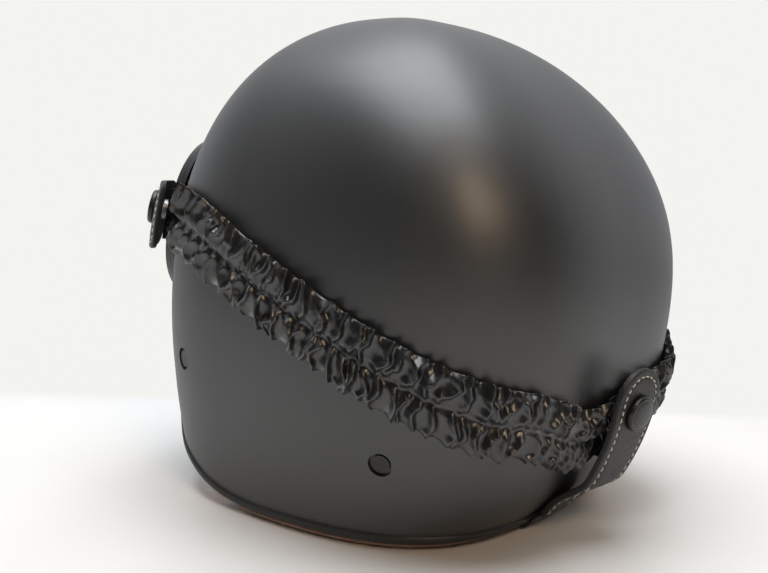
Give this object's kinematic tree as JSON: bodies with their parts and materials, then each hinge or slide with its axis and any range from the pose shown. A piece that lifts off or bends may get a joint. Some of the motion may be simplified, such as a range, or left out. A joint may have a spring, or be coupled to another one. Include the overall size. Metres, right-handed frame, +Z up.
{
  "type": "motorcycle helmet",
  "caption": "Open-face motorcycle helmet in matte black with strapped goggles, a ruched leather goggle strap, a snap-down rear strap tab, padded lining and a D-ring chin strap.",
  "frame": {"origin": "middle of the whole object's box, on the surface that the helmet stands on", "axes": "+Z up, the face looks along -Y, the wearer's left side is +X"},
  "size_m": [0.2624, 0.2886, 0.258],
  "materials": {
    "shell_paint": "matte black lacquer over a moulded glass-fibre shell",
    "rubber_edge": "satin black rubber edging",
    "foam_black": "moulded expanded polystyrene, black",
    "lining_cloth": "brushed knitted lining",
    "tan_leather": "tan leather, softly padded",
    "steel": "plated steel",
    "black_rivet": "black-finished steel rivet",
    "webbing": "black woven polyamide webbing",
    "black_plastic": "moulded black plastic",
    "ruched_leather": "glossy black ruched soft leather",
    "elastic": "woven black elastic",
    "tab_leather": "black leather with pale contrast stitching",
    "cap_black": "black enamelled press-stud cap",
    "frame_black": "satin black moulded goggle frame",
    "face_foam": "black open-cell face foam",
    "smoke_lens": "smoke-grey polycarbonate lens"
  },
  "bodies": {
    "helmet": {"outer_shell": "shell_paint", "edge_bead": "rubber_edge", "impact_foam": "foam_black", "comfort_lining": "lining_cloth", "neck_roll": "tan_leather", "cheek_pad_left": "lining_cloth", "cheek_pad_right": "lining_cloth", "cheek_trim_left": "tan_leather", "cheek_trim_right": "tan_leather", "strap_rivets": "black_rivet", "strap_anchor_plates": "steel", "strap_legs_left": "webbing", "strap_legs_right": "webbing", "strap_divider_left": "black_plastic", "strap_divider_right": "black_plastic", "strap_cover": "ruched_leather", "strap_elastic": "elastic", "rear_stud": "steel", "rear_tab_root": "tab_leather"},
    "rear_tab": {"rear_tab": "tab_leather", "rear_tab_cap": "cap_black", "rear_tab_socket": "steel"},
    "goggles": {"goggle_frame": "frame_black", "face_foam": "face_foam", "goggle_lens": "smoke_lens", "lens_bezel": "frame_black", "end_tab_left": "tab_leather", "end_tab_right": "tab_leather", "end_tab_caps": "cap_black", "end_tab_sockets": "steel", "end_tab_studs": "steel"},
    "chin_strap_left": {"chin_strap_left": "webbing"},
    "chin_strap_right": {"chin_strap_right": "webbing"},
    "d_ring_outer": {"d_ring_outer": "steel"},
    "d_ring_inner": {"d_ring_inner": "steel"}
  },
  "joints": [
    {"name": "goggles_pull", "type": "slide", "parent": "helmet", "child": "goggles", "axis": [0, -1, 0], "range_m": [0, 0.025], "stiffness_N_per_m": 180},
    {"name": "rear_tab_fold", "type": "hinge", "parent": "helmet", "child": "rear_tab", "pos_m": [0.008, 0.09958, 0.0095], "axis": [-1, 0, 0], "range_deg": [0, 50]},
    {"name": "chin_strap_left_swing", "type": "hinge", "parent": "helmet", "child": "chin_strap_left", "pos_m": [0.06069, -0.004, 0.0034], "axis": [0, 1, 0], "range_deg": [-80, 45]},
    {"name": "chin_strap_right_swing", "type": "hinge", "parent": "helmet", "child": "chin_strap_right", "pos_m": [-0.06069, -0.004, 0.0034], "axis": [0, -1, 0], "range_deg": [-80, 45]},
    {"name": "d_ring_inner_turn", "type": "hinge", "parent": "chin_strap_left", "child": "d_ring_inner", "pos_m": [0.02631, -0.004, 0.0048], "axis": [0, 1, 0], "range_deg": [0, 75]},
    {"name": "d_ring_outer_turn", "type": "hinge", "parent": "chin_strap_left", "child": "d_ring_outer", "pos_m": [0.03157, -0.004, 0.0048], "axis": [0, 1, 0], "range_deg": [0, 75]}
  ],
  "couplings": [
    {"joint": "d_ring_outer_turn", "follows": "d_ring_inner_turn", "ratio": 1}
  ]
}
